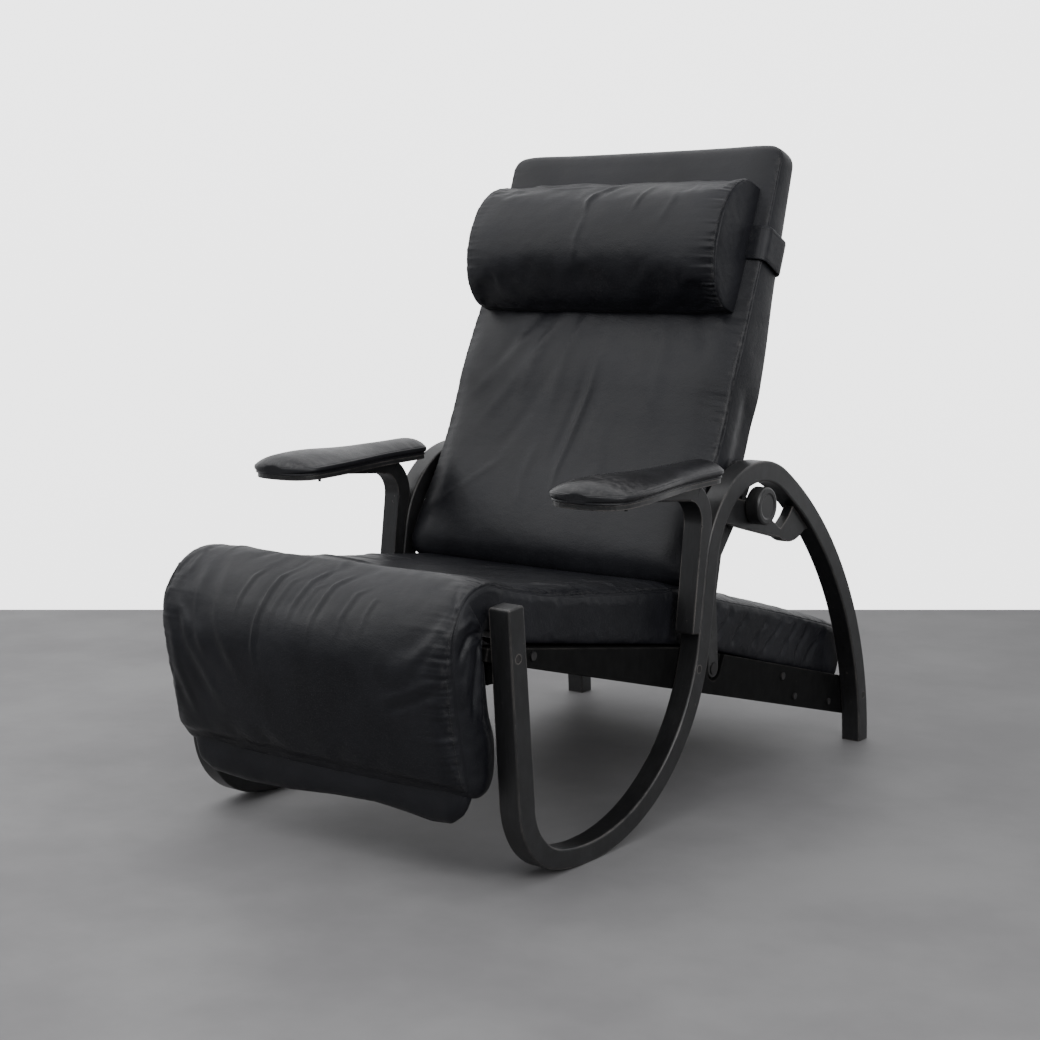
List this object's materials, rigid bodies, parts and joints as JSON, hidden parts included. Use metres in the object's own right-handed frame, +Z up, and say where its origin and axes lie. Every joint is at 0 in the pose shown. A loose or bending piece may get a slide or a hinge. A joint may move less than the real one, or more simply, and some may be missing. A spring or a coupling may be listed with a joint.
{
  "type": "zero gravity recliner",
  "caption": "Bentwood lounge recliner with a sliding leather seat, a coupled leg rest, a lockable reclining back, padded arms and a movable head pillow.",
  "frame": {"origin": "on the floor, in the centre plane, under the middle of the chair's length", "axes": "+X to the sitter's left, -Y to the front, +Z up"},
  "size_m": [0.744, 1.1458, 1.0625],
  "materials": {
    "frame_wood": "black-stained bentwood, satin lacquer, worn along the edges",
    "rail_wood": "black-stained timber, matte",
    "slat_wood": "plain birch, unfinished",
    "knob_wood": "turned, black-stained, satin lacquer",
    "seat_leather": "soft black full-grain leather, semi-matte",
    "back_leather": "soft black full-grain leather, semi-matte",
    "arm_leather": "black leather polished by use",
    "bolt_steel": "dark, lightly rusted",
    "bracket_steel": "black, satin",
    "webbing": "woven jute webbing"
  },
  "bodies": {
    "frame": {"side_frame_left": "frame_wood", "side_frame_right": "frame_wood", "seat_rail_left": "rail_wood", "seat_rail_right": "rail_wood", "front_rail": "rail_wood", "middle_rail": "rail_wood", "rear_rail": "rail_wood", "tail_rail": "rail_wood", "arm_support_left": "frame_wood", "arm_support_right": "frame_wood", "arm_base_left": "frame_wood", "arm_base_right": "frame_wood", "arm_pad_left": "arm_leather", "arm_pad_right": "arm_leather", "arm_screws": "bolt_steel", "lock_plate_left": "frame_wood", "lock_plate_right": "frame_wood", "frame_bolts": "bolt_steel", "cross_bolts": "bolt_steel", "guide_pins": "bolt_steel", "pivot_bolts": "bolt_steel"},
    "seat": {"seat_bearer_left": "rail_wood", "seat_bearer_right": "rail_wood", "seat_slats": "slat_wood", "seat_cushion": "seat_leather", "seat_hinge_plates": "bracket_steel", "knee_roll": "seat_leather"},
    "leg_rest": {"leg_board": "rail_wood", "leg_cushion": "seat_leather", "toe_roll": "seat_leather", "leg_hinge_plates": "bracket_steel", "leg_hinge_pins": "bolt_steel"},
    "back": {"back_stile_left": "rail_wood", "back_stile_right": "rail_wood", "back_rails": "rail_wood", "back_webbing": "webbing", "back_cushion": "back_leather", "back_panel": "back_leather", "back_bracket_left": "bracket_steel", "back_bracket_right": "bracket_steel", "bracket_spacers": "bolt_steel", "bracket_screws": "bolt_steel", "lock_bolts": "bolt_steel", "lock_spacers": "bracket_steel"},
    "knob_left": {"knob_left": "knob_wood"},
    "knob_right": {"knob_right": "knob_wood"},
    "pillow": {"head_pillow": "back_leather", "pillow_strap": "back_leather"}
  },
  "joints": [
    {"name": "seat_slide", "type": "slide", "parent": "frame", "child": "seat", "axis": [0, -0.9664, 0.2571], "range_m": [0, 0.12]},
    {"name": "leg_lift", "type": "hinge", "parent": "seat", "child": "leg_rest", "pos_m": [0, -0.48695, 0.345], "axis": [-1, 0, 0], "range_deg": [0, 75], "deforming": ["knee_roll"]},
    {"name": "back_recline", "type": "hinge", "parent": "frame", "child": "back", "pos_m": [0, 0.08905, 0.212], "axis": [-1, 0, 0], "range_deg": [-2, 19]},
    {"name": "knob_left_turn", "type": "hinge", "parent": "back", "child": "knob_left", "pos_m": [0.3346, 0.159, 0.47485], "axis": [1, 0, 0], "continuous": true},
    {"name": "knob_right_turn", "type": "hinge", "parent": "back", "child": "knob_right", "pos_m": [-0.3346, 0.159, 0.47485], "axis": [-1, 0, 0], "continuous": true},
    {"name": "pillow_slide", "type": "slide", "parent": "back", "child": "pillow", "axis": [0, 0.3502, 0.9367], "range_m": [-0.05, 0.035]}
  ],
  "couplings": [
    {"joint": "leg_lift", "follows": "seat_slide", "rad_per_m": 10.9}
  ]
}
